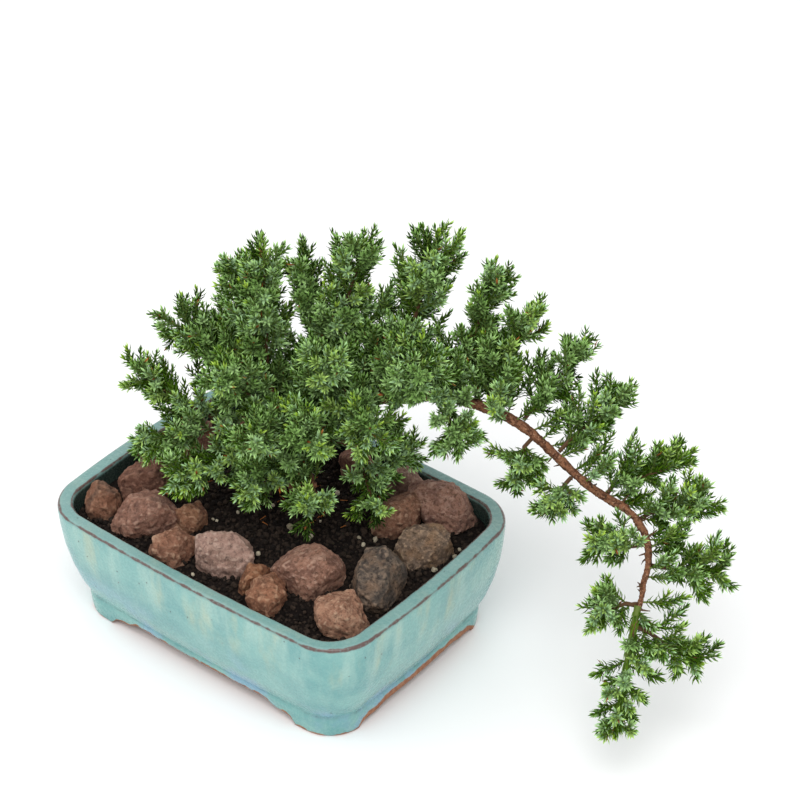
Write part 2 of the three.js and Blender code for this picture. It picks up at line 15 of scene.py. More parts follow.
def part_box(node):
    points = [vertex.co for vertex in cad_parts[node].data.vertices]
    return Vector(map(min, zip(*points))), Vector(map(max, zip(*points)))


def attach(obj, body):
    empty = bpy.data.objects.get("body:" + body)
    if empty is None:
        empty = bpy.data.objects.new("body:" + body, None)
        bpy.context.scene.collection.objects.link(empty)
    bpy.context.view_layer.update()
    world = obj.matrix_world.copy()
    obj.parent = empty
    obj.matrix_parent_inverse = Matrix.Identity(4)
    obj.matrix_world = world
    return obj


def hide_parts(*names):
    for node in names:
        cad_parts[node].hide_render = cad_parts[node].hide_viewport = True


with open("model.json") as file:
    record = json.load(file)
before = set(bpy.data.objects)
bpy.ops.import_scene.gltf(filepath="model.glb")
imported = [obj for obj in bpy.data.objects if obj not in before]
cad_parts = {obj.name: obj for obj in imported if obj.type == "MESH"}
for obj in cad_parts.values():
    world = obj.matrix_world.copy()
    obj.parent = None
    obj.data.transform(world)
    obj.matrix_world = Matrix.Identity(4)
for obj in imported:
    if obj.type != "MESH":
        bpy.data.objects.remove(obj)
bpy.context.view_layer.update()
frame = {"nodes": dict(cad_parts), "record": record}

MM = 0.001
BODY = "root"
ROCKS = sorted(name for name in frame["nodes"] if name.startswith("rock_"))
SPRAYS = sorted(name for name in frame["nodes"] if name.startswith("spray_"))
SCREENS = ("drain_screen_left", "drain_screen_right")

pot_low, pot_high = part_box("pot")
POT_MIDDLE = Vector(((pot_low.x + pot_high.x) / 2, (pot_low.y + pot_high.y) / 2, 0))
POT_TOP = pot_high.z / MM


# ---- small helpers ----
def colour(red, green, blue):
    """A screen colour, 0 to 255, as the linear colour that shaders take."""
    def linear(value):
        value /= 255
        return value / 12.92 if value <= 0.04045 else ((value + 0.055) / 1.055) ** 2.4
    return (linear(red), linear(green), linear(blue), 1.0)


def link_mesh(name, points, corners, sizes, material, uv=None, smooth=True):
    """A linked object from points in mm, the corner numbers of all faces in one row, and the
    number of corners of each face."""
    mesh = bpy.data.meshes.new(name)
    mesh.vertices.add(len(points))
    mesh.vertices.foreach_set("co", (np.asarray(points, float) * MM).astype(np.float32).ravel())
    mesh.loops.add(len(corners))
    mesh.loops.foreach_set("vertex_index", corners)
    mesh.polygons.add(len(sizes))
    starts = np.concatenate([[0], np.cumsum(sizes)[:-1]]).astype(np.int32)
    mesh.polygons.foreach_set("loop_start", starts)
    mesh.polygons.foreach_set("use_smooth", np.full(len(sizes), smooth))
    mesh.update(calc_edges=True)
    if uv is not None:
        layer = mesh.uv_layers.new(name="OFBake")
        layer.data.foreach_set("uv", np.asarray(uv, np.float32).ravel())
    mesh.materials.append(material)
    piece = bpy.data.objects.new(name, mesh)
    bpy.context.scene.collection.objects.link(piece)
    return piece


def add_values(piece, name, values):
    """A number for each vertex, which the piece's material reads by name."""
    attribute = piece.data.attributes.new(name, "FLOAT", "POINT")
    attribute.data.foreach_set("value", np.asarray(values, np.float32))


def place(piece, slot, *nodes):
    """Puts a finished piece on the CAD's body, in place of the CAD nodes that it stands for."""
    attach(piece, BODY)
    if nodes:
        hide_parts(*nodes)


def welded(node):
    """A CAD node's points in mm and its triangles, with doubled corners joined."""
    data = frame["nodes"][node].data
    data.calc_loop_triangles()
    points = np.array([v.co for v in data.vertices]) / MM
    triangles = np.array([t.vertices for t in data.loop_triangles])
    _, first, joined = np.unique(points.round(3), axis=0, return_index=True, return_inverse=True)
    return points[first], joined.reshape(-1)[triangles]


def unit(vectors):
    return vectors / np.maximum(np.linalg.norm(vectors, axis=-1, keepdims=True), 1e-9)


def triangle_crosses(points, triangles):
    """Each triangle's corners, and a vector square to it with twice its area as length."""
    corner = points[triangles]
    return corner, np.cross(corner[:, 1] - corner[:, 0], corner[:, 2] - corner[:, 0])


def band_quads(count, steps):
    """Quads between count rings of steps points each, every ring closed round."""
    first = np.arange(steps)
    second = np.roll(first, -1)
    quad = np.stack([first, second, second + steps, first + steps], 1)
    return (quad + steps * np.arange(count - 1)[:, None, None]).reshape(-1, 4)


def wear(piece, material):
    """Gives a piece this material and no other."""
    piece.data.materials.clear()
    piece.data.materials.append(material)


# ---- materials ----
class Shader:
    """A material under construction. Sizes in its patterns are in mm."""

    def __init__(self, name, **inputs):
        self.material = bpy.data.materials.new(name)
        self.material.use_nodes = True
        self.tree = self.material.node_tree
        self.surface = self.tree.nodes["Principled BSDF"]
        self.set(**inputs)

    def set(self, **inputs):
        for key, value in inputs.items():
            self.feed(self.surface.inputs[key.replace("_", " ")], value)

    def feed(self, socket, value):
        if isinstance(value, bpy.types.NodeSocket):
            self.tree.links.new(value, socket)
        else:
            socket.default_value = value

    def node(self, kind, settings=None, **inputs):
        node = self.tree.nodes.new(kind)
        for key, value in (settings or {}).items():
            setattr(node, key, value)
        for key, value in inputs.items():
            self.feed(node.inputs[key.replace("_", " ")], value)
        return node

    def spot(self, stretch=(1, 1, 1), shift=(0, 0, 0)):
        """Where a point is, in mm times stretch."""
        spot = self.node("ShaderNodeTexCoord").outputs["Object"]
        scale = tuple(1000 * s for s in stretch)
        return self.node("ShaderNodeMapping", Vector=spot, Scale=scale, Location=shift).outputs[0]

    def noise(self, size, detail=3, roughness=0.55, distortion=0.0, stretch=(1, 1, 1), shift=(0, 0, 0)):
        numbers = {"Scale": 1 / size, "Detail": detail, "Roughness": roughness, "Distortion": distortion}
        return self.node("ShaderNodeTexNoise", Vector=self.spot(stretch, shift), **numbers).outputs["Fac"]

    def cells(self, size, output, shift):
        spot = self.spot(shift=shift)
        return self.node("ShaderNodeTexVoronoi", Vector=spot, Scale=1 / size).outputs[output]

    def ramp(self, value, *stops, steps=False):
        node = self.node("ShaderNodeValToRGB", Fac=value)
        band = node.color_ramp
        band.interpolation = "CONSTANT" if steps else "LINEAR"
        while len(band.elements) < len(stops):
            band.elements.new(1.0)
        for element, (at, shade) in zip(band.elements, stops):
            element.position = at
            element.color = shade if isinstance(shade, tuple) else (shade, shade, shade, 1.0)
        return node.outputs["Color"]

    def span(self, value, low, high, start=0.0, end=1.0):
        settings = {"interpolation_type": "SMOOTHSTEP"}
        node = self.node("ShaderNodeMapRange", settings, Value=value)
        for key, number in zip(("From Min", "From Max", "To Min", "To Max"), (low, high, start, end)):
            self.feed(node.inputs[key], number)
        return node.outputs["Result"]

    def math(self, kind, first, second):
        node = self.node("ShaderNodeMath", {"operation": kind})
        self.feed(node.inputs[0], first)
        self.feed(node.inputs[1], second)
        return node.outputs[0]

    def times(self, first, second):
        return self.math("MULTIPLY", first, second)

    def mix(self, share, first, second, blend="MIX"):
        node = self.node("ShaderNodeMix", {"data_type": "RGBA", "blend_type": blend})
        self.feed(node.inputs[0], share)
        self.feed(node.inputs[6], first)
        self.feed(node.inputs[7], second)
        return node.outputs[2]

    def over(self, below, above, value, *span):
        """The colour below, with the colour above laid on it where value is within span."""
        return self.mix(self.span(value, *span), below, above)

    def value(self, name):
        return self.node("ShaderNodeAttribute", {"attribute_name": name}).outputs["Fac"]

    def split(self, vector):
        return self.node("ShaderNodeSeparateXYZ", Vector=vector).outputs

    def bump(self, height, strength, depth, below=None):
        """Relief from a height; depth is in mm."""
        node = self.node("ShaderNodeBump", Height=height, Strength=strength, Distance=depth * MM)
        if below is not None:
            self.feed(node.inputs["Normal"], below)
        return node.outputs[0]


def glaze_material():
    """Turquoise glaze that thins to brown on edges, over bare clay at the foot."""
    shader = Shader("glaze")
    up = shader.split(shader.spot())[2]
    turquoise, pale, deep, blue, cream = (
        colour(122, 171, 166),
        colour(158, 191, 181),
        colour(92, 148, 149),
        colour(128, 164, 188),
        colour(180, 186, 156),
    )
    patches = shader.span(shader.noise(30, detail=4, stretch=(1, 1, 1.4)), 0.38, 0.64)
    body = shader.mix(patches, turquoise, shader.mix(0.7, turquoise, deep))
    high = shader.span(up, 22, 60)
    streaks = shader.noise(9, detail=4, stretch=(1, 1, 0.22), shift=(7, 3, 1))
    pale_share = shader.times(shader.span(streaks, 0.4, 0.72), shader.span(high, 0, 1, 0.25, 0.7))
    body = shader.mix(pale_share, body, pale)
    runs = shader.noise(13, detail=4, stretch=(1, 1, 0.3), shift=(31, 3, 61))
    cream_share = shader.times(shader.span(runs, 0.5, 0.76), shader.span(high, 0.1, 0.8, 0.05, 0.6))
    body = shader.mix(cream_share, body, cream)
    body = shader.over(body, colour(114, 148, 145), up, 64, 65.5, 0, 0.75)
    low = shader.span(up, 42, 12)
    blooms = shader.span(shader.noise(24, detail=3, shift=(40, 9, 5)), 0.48, 0.68)
    blue_share = shader.times(blooms, low)
    body = shader.mix(shader.times(blue_share, 0.8), body, blue)
    fine = shader.noise(2.0, detail=5, roughness=0.7)
    body = shader.over(body, pale, fine, 0.5, 0.78, 0, 0.22)
    body = shader.over(body, deep, fine, 0.48, 0.24, 0, 0.28)
    wander = shader.noise(7, detail=4, shift=(3, 8, 2))
    # Brown line where the glaze has run off the rim's two edges.
    line = shader.math("SUBTRACT", shader.value("edge"), shader.span(wander, 0.3, 0.7, -0.25, 0.45))
    thin = shader.span(line, 0.95, 0.3)
    worn = shader.span(shader.noise(1.3, detail=4, shift=(1, 5, 9)), 0.28, 0.5, 0.6, 0.95)
    body = shader.mix(shader.times(thin, worn), body, colour(92, 66, 62))
    # Pits and small dark spots.
    spots = shader.cells(6.5, "Distance", (4, 4, 4))
    keep = shader.span(shader.cells(6.5, "Color", (4, 4, 4)), 0.6, 0.64)
    pits = shader.times(shader.span(spots, 0.09, 0.045), keep)
    body = shader.mix(pits, body, colour(52, 56, 56))
    # Painted shade along the recessed groove above the feet, broken into patches.
    groove = shader.span(shader.value("groove"), 1.3, 0.1)
    groove = shader.times(groove, shader.span(wander, 0.45, 0.66, 0.05, 0.6))
    body = shader.mix(groove, body, colour(64, 84, 86))
    # Painted shade down the inside wall, growing with depth below the rim.
    body = shader.over(body, colour(34, 40, 34), shader.value("inside"), 0.2, 2.6, 0, 0.93)
    # Bare clay round the feet.
    clay_colour = shader.mix(shader.span(fine, 0.35, 0.7), colour(136, 84, 58), colour(170, 122, 92))
    above = shader.math("SUBTRACT", shader.value("above"), shader.span(wander, 0.3, 0.7, -0.7, 1.2))
    bare = shader.span(above, 2.0, 1.4)
    body = shader.mix(bare, body, clay_colour)
    gloss = shader.mix(shader.span(fine, 0.2, 0.8), (0.2, 0.2, 0.2, 1), (0.34, 0.34, 0.34, 1))
    shader.set(
        Base_Color=body,
        Roughness=shader.mix(bare, gloss, (0.85, 0.85, 0.85, 1)),
        Specular_IOR_Level=0.45,
    )
    waves = shader.bump(shader.noise(18, detail=1), 0.3, 0.5)
    pitted = shader.bump(shader.times(pits, -1.0), 0.5, 0.25, waves)
    shader.set(Normal=shader.bump(fine, 0.05, 0.05, pitted))
    return shader.material


def soil_material():
    shader = Shader("soil", Roughness=1.0, Specular_IOR_Level=0.15)
    grains = shader.noise(1.4, detail=5, roughness=0.75)
    tint = shader.mix(shader.span(grains, 0.35, 0.7), colour(14, 10, 9), colour(44, 35, 30))
    tint = shader.over(tint, colour(22, 16, 14), shader.noise(16), 0.45, 0.7)
    shader.set(Base_Color=tint, Normal=shader.bump(grains, 1.0, 0.9))
    return shader.material


def crumb_material(name, dark, light):
    """Loose grains: each grain has its own tone, from dark to light."""
    shader = Shader(name, Roughness=1.0, Specular_IOR_Level=0.2)
    tint = shader.mix(shader.value("tone"), dark, light)
    rough = shader.noise(0.6, detail=4)
    tint = shader.over(tint, dark, rough, 0.35, 0.7, 0.0, 0.35)
    shader.set(Base_Color=tint, Normal=shader.bump(rough, 0.8, 0.3))
    return shader.material


def rock_material(name, main, second, light, seed):
    """Broken brown stone: blotches, faint bedding lines, paler raised edges and painted shade in its
    hollows.
    """
    shader = Shader(name, Roughness=0.88, Specular_IOR_Level=0.25)
    away = (31.0 * seed, 17.0 * seed, 5.0 * seed)
    blotches = shader.noise(9, detail=5, roughness=0.6, shift=away)
    tint = shader.mix(shader.span(blotches, 0.42, 0.64), main, second)
    bedding = shader.noise(3.4, detail=4, stretch=(0.4, 0.6, 1.6), distortion=0.6, shift=away)
    tint = shader.over(tint, light, bedding, 0.5, 0.7, 0, 0.45)
    fine = shader.noise(2.4, detail=7, roughness=0.85, shift=away)
    tint = shader.over(tint, light, fine, 0.52, 0.68, 0, 0.6)
    dark = tuple(0.3 * channel for channel in main[:3]) + (1.0,)
    tint = shader.over(tint, dark, fine, 0.52, 0.36, 0, 0.95)
    # Paler where the stone stands out of its surroundings; painted shade where it sinks into hollows.
    tint = shader.over(tint, light, shader.value("edge"), 0.3, 0.9, 0, 0.6)
    tint = shader.over(tint, dark, shader.value("edge"), -0.25, -0.9, 0, 0.7)
    relief = shader.bump(bedding, 0.8, 0.9)
    shader.set(Base_Color=tint, Normal=shader.bump(fine, 1.0, 1.5, relief))
    return shader.material


def screen_material():
    """Dark moulded plastic, slightly mottled, for the drain screens under the soil."""
    shader = Shader("screen_plastic", Roughness=0.5, Specular_IOR_Level=0.4)
    mottle = shader.noise(1.5, detail=4)
    shader.set(
        Base_Color=shader.mix(shader.span(mottle, 0.3, 0.7), colour(20, 22, 21), colour(38, 41, 39)),
        Normal=shader.bump(mottle, 0.2, 0.1),
    )
    return shader.material


def bark_material():
    shader = Shader("bark", Roughness=0.85, Specular_IOR_Level=0.25)
    flakes = shader.noise(2.6, detail=5, roughness=0.7, distortion=0.8)
    tint = shader.mix(shader.span(flakes, 0.38, 0.6), colour(74, 44, 30), colour(136, 92, 66))
    tint = shader.over(tint, colour(176, 138, 108), shader.noise(0.9, detail=4), 0.52, 0.7, 0, 0.7)
    # Painted shade in the bark's hollows, where the surface sinks below its surroundings.
    tint = shader.over(tint, colour(38, 24, 18), shader.value("edge"), -0.1, -0.8, 0, 0.8)
    shader.set(Base_Color=tint, Normal=shader.bump(flakes, 0.9, 0.5))
    return shader.material


# Needle colours: the waxy upper face, lightened by painted highlight, and the green lower face, darkened
# by painted shade, of each kind of needle. A face's place on the palette is its UV: along the needle, and
# its colour's row.
NEEDLE_TOPS_LIT = [
    (130, 170, 90), (147, 187, 105), (162, 202, 122), (178, 216, 142),
    (170, 209, 152), (176, 212, 112), (176, 210, 84), (164, 100, 48),
]
NEEDLE_BACKS_SHADED = [
    (40, 66, 3), (50, 80, 5), (62, 95, 8), (76, 111, 16),
    (66, 101, 20), (86, 121, 20), (130, 166, 44), (118, 72, 36),
]
TWIG_COLOUR, STEM_COLOUR = (98, 72, 50), (112, 132, 62)
KINDS = len(NEEDLE_TOPS_LIT)
YOUNG, DRY = KINDS - 2, KINDS - 1
TWIG_ROW, STEM_ROW, ROWS = 2 * KINDS, 2 * KINDS + 1, 2 * KINDS + 2


def needle_material():
    shader = Shader("juniper_needles", Roughness=0.55, Specular_IOR_Level=0.15)
    across = shader.split(shader.node("ShaderNodeUVMap", {"uv_map": "OFBake"}).outputs[0])
    along, row = across[0], across[1]
    rows = NEEDLE_TOPS_LIT + NEEDLE_BACKS_SHADED + [TWIG_COLOUR, STEM_COLOUR]
    tint = shader.ramp(row, *[(i / ROWS, colour(*shade)) for i, shade in enumerate(rows)], steps=True)
    # Painted shade towards each needle's foot, inside the shoot, and painted highlight towards its tip.
    shade = shader.ramp(along, (0.0, 0.12), (0.35, 0.62), (0.75, 1.15), (1.0, 1.45))
    tint = shader.mix(1.0, tint, shade, "MULTIPLY")
    shader.set(Base_Color=tint)
    return shader.material


# ---- pot ----
RIM_HALF_LENGTH, RIM_HALF_WIDTH, RIM_CORNER, RIM_LAND = 100.0, 74.0, 26.0, 8.5
SIDE_BOW, FOOT_INSET, FOOT_WIDTH, CORNER_NARROWING = 1.9, 12.0, 9.0, 0.475
UNDERSIDE, POT_FLOOR = 9.0, 14.0
LONG_ARCH, SHORT_ARCH = (62.0, 8.8), (46.0, 5.4)
CORNER_START, CORNER_END = 0.2, 0.7
GROOVE_HEIGHT = 12.2
INNER_WALL = [(24, POT_FLOOR), (18.5, 19), (13.5, 32), (10.5, 46), (9.2, 58), (8.7, POT_TOP - 1.2)]
RING_STEPS = 320


def ring_sizes(reach, inner):
    """Half sizes, bow and corner radius of the ring that lies reach from the middle along X."""
    inset = RIM_HALF_LENGTH - reach
    slimmer = RIM_HALF_LENGTH - RIM_HALF_WIDTH - 0.14 * inset
    shrink = min(1.0, reach / 60)
    wall = RIM_LAND if inner else 0.0
    corner = (RIM_CORNER - wall - CORNER_NARROWING * (inset - wall)) * shrink
    return reach, reach - slimmer * shrink, SIDE_BOW * shrink, max(corner, 0.2 * reach)


def blended_ring(reach, inner):
    """A ring part of the way from the outer wall's corners (0) to the inner wall's (1)."""
    outer, across = ring(reach, False)
    return (1 - inner) * outer + inner * ring(reach, True)[0], across


def ring(reach, inner):
    """Points of one rounded rectangle with bowed sides, anticlockwise from +X, in mm, and how far
    each is across its quarter."""
    half_x, half_y, bow, corner = ring_sizes(reach, inner)
    turn = np.arange(RING_STEPS) / RING_STEPS * 4
    quarter = turn.astype(int) % 4
    across = np.where(quarter % 2 == 0, turn - quarter, 1 - (turn - quarter))
    side = np.clip(across / CORNER_START, 0, 1)
    end = np.clip((1 - across) / (1 - CORNER_END), 0, 1)
    angle = (across - CORNER_START) / (CORNER_END - CORNER_START) * math.pi / 2
    on_side, on_end = across < CORNER_START, across >= CORNER_END
    x = half_x - corner + corner * np.cos(angle)
    y = half_y - corner + corner * np.sin(angle)
    x = np.where(on_side, half_x + bow * (1 - side**2), np.where(on_end, (half_x - corner) * end, x))
    y = np.where(on_side, (half_y - corner) * side, np.where(on_end, half_y + bow * (1 - end**2), y))
    x *= np.where((quarter == 1) | (quarter == 2), -1, 1)
    y *= np.where(quarter >= 2, -1, 1)
    return np.stack([x, y], 1), across


def finer(profile, longest, rounds):
    """A profile cut into short stretches, with its corners rounded a little."""
    points = [np.array(profile[0], float)]
    for start, end in zip(profile[:-1], profile[1:]):
        start, end = np.array(start, float), np.array(end, float)
        parts = max(1, math.ceil(np.linalg.norm((end - start)[:2]) / longest))
        points += [start + (end - start) * (i + 1) / parts for i in range(parts)]
    for _ in range(rounds):
        cut = [points[0]]
        for start, end in zip(points[:-1], points[1:]):
            cut += [0.75 * start + 0.25 * end, 0.25 * start + 0.75 * end]
        points = cut + [points[-1]]
    return np.array(points)


def arch_height(position, half, height):
    """How far a foot arch is cut up at each distance from the middle of its side."""
    rise = half - np.abs(position)
    lobe = 0.62 * height * np.sqrt(np.clip(1 - (1 - np.clip(rise / 10, 0, 1)) ** 2, 0, 1))
    step = np.clip((rise - 11) / 9, 0, 1)
    return lobe + 0.38 * height * step * step * (3 - 2 * step)


def ringed_piece(name, rings, first_height, last_height, material):
    """A closed piece through rings given round the pot's middle, with a fan at each end."""
    middle = np.array(POT_MIDDLE) / MM
    points = np.concatenate(rings)
    points[:, :2] += middle[:2]
    count, last = len(points), len(points) - RING_STEPS
    points = np.vstack([points, middle + [0, 0, first_height], middle + [0, 0, last_height]])
    quads = band_quads(len(rings), RING_STEPS)
    first = np.arange(RING_STEPS)
    second = np.roll(first, -1)
    fans = np.vstack([
        np.column_stack([np.full(RING_STEPS, count), second, first]),
        np.column_stack([np.full(RING_STEPS, count + 1), last + first, last + second]),
    ])
    corners = np.concatenate([quads.ravel(), fans.ravel()]).astype(np.int32)
    sizes = np.repeat([4, 3], [len(quads), len(fans)]).astype(np.int32)
    return link_mesh(name, points, corners, sizes, material)


FOOT = RIM_HALF_LENGTH - FOOT_INSET
ARCH_TOP = UNDERSIDE + 4.0  # above this height no arch bends the wall
PROFILE_STEP, PROFILE_ROUNDS = 3.0, 1
FAR_AWAY = 9.0  # for a point with no groove, edge or clay near it
INSIDE_DEPTH = 20.0  # for the floor inside the pot


def pot_profile():
    """(distance from the middle, height, inner side or not) round the wall, from under the pot."""
    rim = RIM_HALF_LENGTH
    outside = [
        (2, UNDERSIDE, 0), (FOOT - FOOT_WIDTH, UNDERSIDE, 0), (FOOT - FOOT_WIDTH, 0, 0), (FOOT, 0, 0),
        (FOOT + 0.6, 5, 0), (FOOT + 0.9, 10, 0), (FOOT - 0.1, GROOVE_HEIGHT, 0), (FOOT + 1.1, 14.2, 0),
        (rim - 7.2, 22, 0), (rim - 3.9, 33, 0), (rim - 1.7, 44, 0), (rim - 0.5, 55, 0), (rim, 63.5, 0),
        (rim - 0.2, 65.6, 0), (rim - 1.3, POT_TOP, 0),
    ]
    lip = [(rim - RIM_LAND + 0.9, POT_TOP - 0.1, 1)]
    inside = [(rim - inset, z, 1) for inset, z in reversed(INNER_WALL)]
    return finer(outside + lip + inside + [(2, POT_FLOOR, 1)], PROFILE_STEP, PROFILE_ROUNDS)


def arches(flat, across, reach, z, inner):
    """How far the foot arches are cut up at each point of a ring."""
    if inner > 0.5 or reach < FOOT - FOOT_WIDTH - 1 or z > ARCH_TOP:
        return np.zeros(RING_STEPS)
    on_short = across < (CORNER_START + CORNER_END) / 2
    return np.where(on_short, arch_height(flat[:, 1], *SHORT_ARCH), arch_height(flat[:, 0], *LONG_ARCH))


def rim_distance(reach, z, across):
    """Distance in mm from the rim's two edges, where the glaze is thin; it is thinner on corners."""
    outer = math.hypot(reach - (RIM_HALF_LENGTH - 0.35), z - (POT_TOP - 0.5))
    hem = math.hypot(reach - (RIM_HALF_LENGTH - RIM_LAND + 0.5), z - (POT_TOP - 0.6))
    at_corner = np.clip(1 - np.abs(across - 0.45) / 0.3, 0, 1)
    return np.minimum(outer - 0.45 * at_corner, 1.2 * hem)


def height_above_clay(reach, z, inner, across, height, arch):
    """Height in mm above the bare clay of the feet, which reaches higher on the short sides."""
    if reach < FOOT - 1.2 and z < UNDERSIDE + 1 and inner < 0.5:
        return np.full(RING_STEPS, -3.0)
    on_short = np.clip((CORNER_START + 0.1 - across) / 0.1, 0, 1)
    return height - arch + 0.9 - 3.4 * on_short


def depth_inside(reach, z, inner):
    """Depth in mm below the rim on the inner wall; 0 outside."""
    if inner <= 0.5:
        return 0
    return max(POT_TOP - z, 0) if reach > 20 else INSIDE_DEPTH


def make_pot():
    edges, depths, aboves, grooves, rings = [], [], [], [], []
    for reach, z, inner in pot_profile():
        flat, across = blended_ring(reach, inner)
        arch = arches(flat, across, reach, z, inner)
        height = arch + z * (ARCH_TOP - arch) / ARCH_TOP
        rings.append(np.column_stack([flat, height]))
        edges.append(rim_distance(reach, z, across))
        depths.append(np.full(RING_STEPS, depth_inside(reach, z, inner)))
        aboves.append(height_above_clay(reach, z, inner, across, height, arch))
        grooves.append(np.full(RING_STEPS, abs(z - GROOVE_HEIGHT) if reach > FOOT - 2 else FAR_AWAY))
    pot = ringed_piece("glazed_pot", rings, UNDERSIDE, POT_FLOOR, glaze_material())
    for name, values, ends in (
        ("edge", edges, [FAR_AWAY, FAR_AWAY]), ("inside", depths, [0.0, INSIDE_DEPTH]),
        ("above", aboves, [-3.0, FAR_AWAY]), ("groove", grooves, [FAR_AWAY, FAR_AWAY]),
    ):
        add_values(pot, name, np.concatenate([np.concatenate(values), ends]))
    place(pot, "glaze", "pot")


# ---- soil and grains ----
SOIL_EDGE, SOIL_MIDDLE = 56.5, 61.0
SOIL_HALF_LENGTH, SOIL_HALF_WIDTH = 90, 64
FLAT_SHARE = 0.35  # how far the soil's flat middle reaches
CLOD_SIZE, CLOD_HEIGHT = 5, 0.9
WALL_GAP = 0.3  # between the soil and the pot, in mm
SOIL_RINGS = 62


def mound(x, y):
    """The soil's gently raised top: its height in mm at a place in the pot's own frame."""
    x, y = abs(x) / SOIL_HALF_LENGTH, abs(y) / SOIL_HALF_WIDTH
    out = max(x, y, math.hypot(x, y) * 0.8)
    fall = min(1, max(0, (out - FLAT_SHARE) / (1 - FLAT_SHARE))) ** 1.4
    return SOIL_MIDDLE - (SOIL_MIDDLE - SOIL_EDGE) * fall


def cloddy(x, y):
    """The mound's height with small clods on it."""
    spot = Vector((x / CLOD_SIZE, y / CLOD_SIZE, 1))
    return mound(x, y) + CLOD_HEIGHT * noise.fractal(spot, 1.0, 2.0, 4)


def make_soil():
    wall = [(RIM_HALF_LENGTH - inset - WALL_GAP, z) for inset, z in INNER_WALL[:4]]
    edge = RIM_HALF_LENGTH - 9.4 - WALL_GAP
    rings = [np.column_stack([ring(reach, True)[0], np.full(RING_STEPS, z)]) for reach, z in wall]
    rings[0][:, 2] = POT_FLOOR + WALL_GAP
    for reach in np.linspace(edge, 2, SOIL_RINGS):
        flat = ring(reach, True)[0]
        rings.append(np.column_stack([flat, [cloddy(x, y) for x, y in flat]]))
    soil = ringed_piece("soil_bed", rings, POT_FLOOR + WALL_GAP, SOIL_MIDDLE, soil_material())
    place(soil, "soil", "soil")


def grain_shape(detail):
    ball = bmesh.new()
    bmesh.ops.create_icosphere(ball, subdivisions=detail, radius=1)
    points = np.array([v.co for v in ball.verts])
    triangles = np.array([[v.index for v in f.verts] for f in ball.faces])
    ball.free()
    return points, triangles


GRAIN_REACH, GRAIN_WIDTH_SHARE = 88.0, 0.73
GRAIN_CORNER = (72, 47, 16.5)  # where the soil's corners start to round, and their radius


def make_grains(name, slot, material, count, sizes, seed, tones, detail=1, lift=0.25):
    """Loose grains scattered over the soil, as one piece."""
    random = np.random.default_rng(seed)
    corner_x, corner_y, corner_radius = GRAIN_CORNER
    shape, triangles = grain_shape(detail)
    middle = np.array(POT_MIDDLE) / MM
    points, faces, tone = [], [], []
    while len(points) < count:
        x = random.uniform(-GRAIN_REACH, GRAIN_REACH)
        y = random.uniform(-GRAIN_REACH * GRAIN_WIDTH_SHARE, GRAIN_REACH * GRAIN_WIDTH_SHARE)
        if math.hypot(max(0, abs(x) - corner_x), max(0, abs(y) - corner_y)) > corner_radius:
            continue
        size = random.uniform(*sizes) * (1 + 0.6 * random.random() ** 3)
        bumpy = shape * (1 + 0.28 * (random.random((len(shape), 1)) - 0.5))
        spun = np.linalg.qr(random.normal(size=(3, 3)))[0]
        lump = (bumpy * size * 0.5 * random.uniform(0.6, 1.0, 3)) @ spun
        faces.append(triangles + len(shape) * len(points))
        points.append(lump + middle + [x, y, cloddy(x, y) + lift * size])
        tone.append(np.full(len(shape), random.uniform(*tones)))
    corners = np.concatenate(faces).astype(np.int32).ravel()
    sizes_of = np.full(len(corners) // 3, 3, np.int32)
    grains = link_mesh(name, np.concatenate(points), corners, sizes_of, material, smooth=False)
    add_values(grains, "tone", np.concatenate(tone))
    place(grains, slot)


# ---- rocks and bark ----
def remeshed(name, node, voxel, smoothing):
    """A fine, even copy of a CAD node with its edges softened."""
    points, triangles = welded(node)
    mesh = bpy.data.meshes.new(name)
    mesh.from_pydata([Vector(p) * MM for p in points], [], triangles.tolist())
    piece = bpy.data.objects.new(name, mesh)
    bpy.context.scene.collection.objects.link(piece)
    remesh = piece.modifiers.new("Remesh", "REMESH")
    remesh.mode = "VOXEL"
    remesh.voxel_size = voxel * MM
    soften = piece.modifiers.new("Smooth", "SMOOTH")
    soften.iterations = smoothing
    ready = piece.evaluated_get(bpy.context.evaluated_depsgraph_get())
    fine = bpy.data.meshes.new_from_object(ready)
    piece.modifiers.clear()
    piece.data = fine
    fine.polygons.foreach_set("use_smooth", np.ones(len(fine.polygons), bool))
    return piece


def spots_and_normals(mesh):
    spots, normals = np.zeros(len(mesh.vertices) * 3), np.zeros(len(mesh.vertices) * 3)
    mesh.vertices.foreach_get("co", spots)
    mesh.vertices.foreach_get("normal", normals)
    return spots.reshape(-1, 3) / MM, normals.reshape(-1, 3)


def mark_edges(piece, rounds, gain):
    """Stores how far each point stands out of (or sinks into) the surface round it."""
    mesh = piece.data
    spots, normals = spots_and_normals(mesh)
    edges = np.zeros(len(mesh.edges) * 2, np.int32)
    mesh.edges.foreach_get("vertices", edges)
    a, b = edges.reshape(-1, 2).T
    around = spots.copy()
    ties = np.bincount(a, minlength=len(spots)) + np.bincount(b, minlength=len(spots))
    for _ in range(rounds):
        total = np.zeros_like(around)
        np.add.at(total, a, around[b])
        np.add.at(total, b, around[a])
        around = total / np.maximum(ties, 1)[:, None]
    add_values(piece, "edge", gain * ((spots - around) * normals).sum(1))


def chips(spot):
    """Flat facets with creases between them."""
    near = noise.voronoi(spot)[0]
    return 0.6 - min(near[1] - near[0], 0.6) - 0.3


def roughen(piece, layers, seed):
    """Pushes points in and out by layers of (size mm, depth mm, chipped or plain) noise."""
    spots, normals = spots_and_normals(piece.data)
    push = np.zeros(len(spots))
    for size, depth, chipped in layers:
        shift = Vector((13.7 * seed, 5.1 * seed, size))
        if chipped:
            push -= depth * np.array([chips(Vector(p) / size + shift) for p in spots])
        else:
            push += depth * np.array([noise.fractal(Vector(p) / size + shift, 0.9, 2.1, 3) for p in spots])
    moved = (spots + normals * push[:, None]) * MM
    piece.data.vertices.foreach_set("co", moved.astype(np.float32).ravel())
    piece.data.update()


